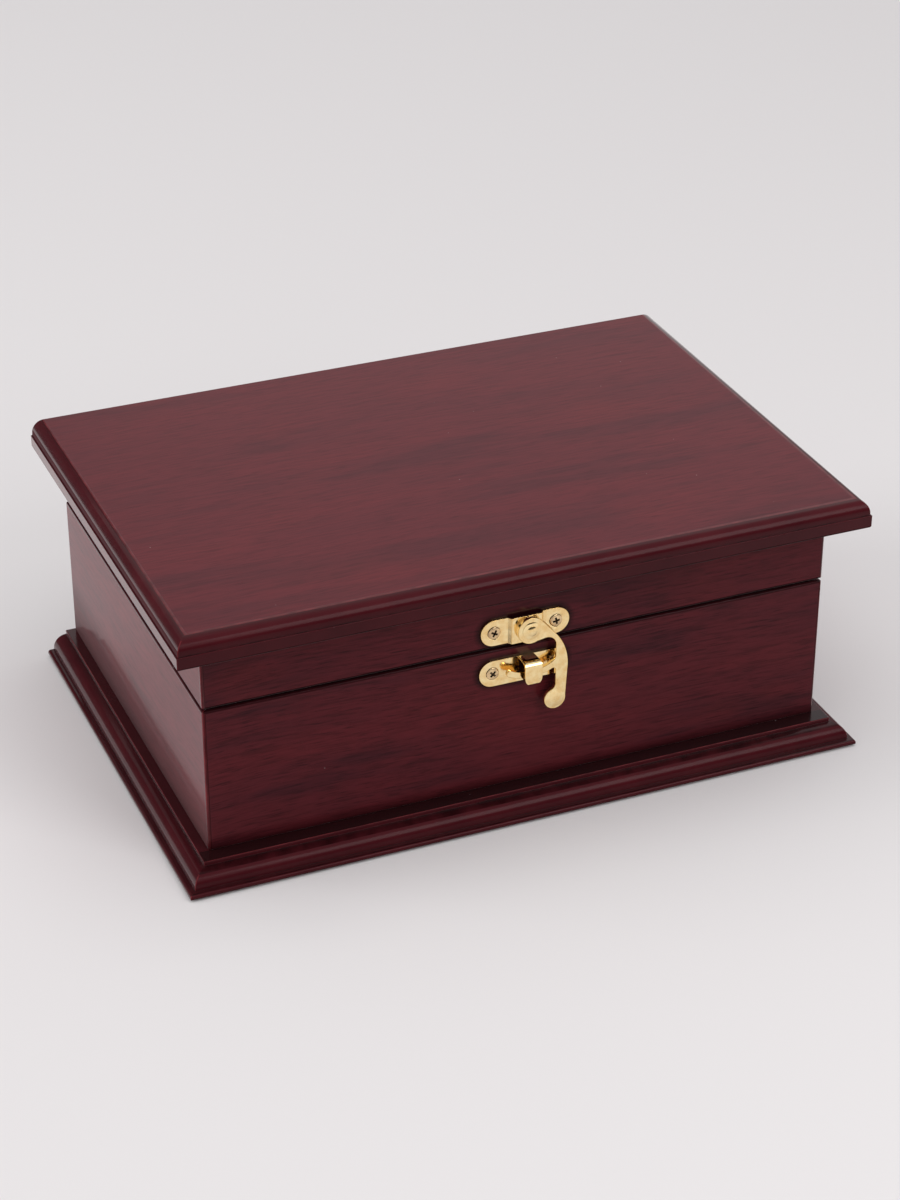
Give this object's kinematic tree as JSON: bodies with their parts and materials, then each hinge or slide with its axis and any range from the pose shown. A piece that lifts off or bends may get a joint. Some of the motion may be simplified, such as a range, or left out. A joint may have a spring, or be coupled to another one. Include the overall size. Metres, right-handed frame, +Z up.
{
  "type": "hinged keepsake box",
  "caption": "Rosewood-finish keepsake box with moulded lid and plinth boards, a stop-hinged lid, felt lining and a polished brass swing-hook catch.",
  "frame": {"origin": "on the surface that the box stands on, under the middle of the case in plan", "axes": "+X along the box's width to the right, +Y from the catch to the hinges, +Z up"},
  "size_m": [0.2544, 0.1782, 0.1001],
  "materials": {
    "rosewood": "clear gloss lacquer over a red-brown stain",
    "felt": "short black felt",
    "polished_brass": "polished",
    "satin_brass": "satin",
    "screw_brass": "plated, slightly dull"
  },
  "bodies": {
    "case": {"plinth_board": "rosewood", "base_felt": "felt", "case_front": "rosewood", "case_back": "rosewood", "case_left": "rosewood", "case_right": "rosewood", "floor_lining": "felt", "lining_front": "felt", "lining_back": "felt", "lining_left": "felt", "lining_right": "felt", "keeper_plate": "polished_brass", "keeper_screws": "screw_brass", "hinge_left_lower": "satin_brass", "hinge_right_lower": "satin_brass", "hinge_pin_left": "satin_brass", "hinge_pin_right": "satin_brass", "hinge_screws_lower": "screw_brass"},
    "lid": {"lid_board": "rosewood", "rim_front": "rosewood", "rim_back": "rosewood", "rim_left": "rosewood", "rim_right": "rosewood", "lid_lining": "felt", "hook_plate": "polished_brass", "hook_rivet": "polished_brass", "hook_washer": "polished_brass", "hook_plate_screws": "screw_brass", "hinge_left_upper": "satin_brass", "hinge_right_upper": "satin_brass", "hinge_screws_upper": "screw_brass"},
    "hook": {"swing_hook": "polished_brass"}
  },
  "joints": [
    {"name": "lid_hinge", "type": "hinge", "parent": "case", "child": "lid", "pos_m": [0, 0.0815, 0.0652], "axis": [-1, 0, 0], "range_deg": [0, 95]},
    {"name": "hook_swing", "type": "hinge", "parent": "lid", "child": "hook", "pos_m": [0.0009, -0.0854, 0.072], "axis": [0, -1, 0], "range_deg": [0, 95]}
  ]
}
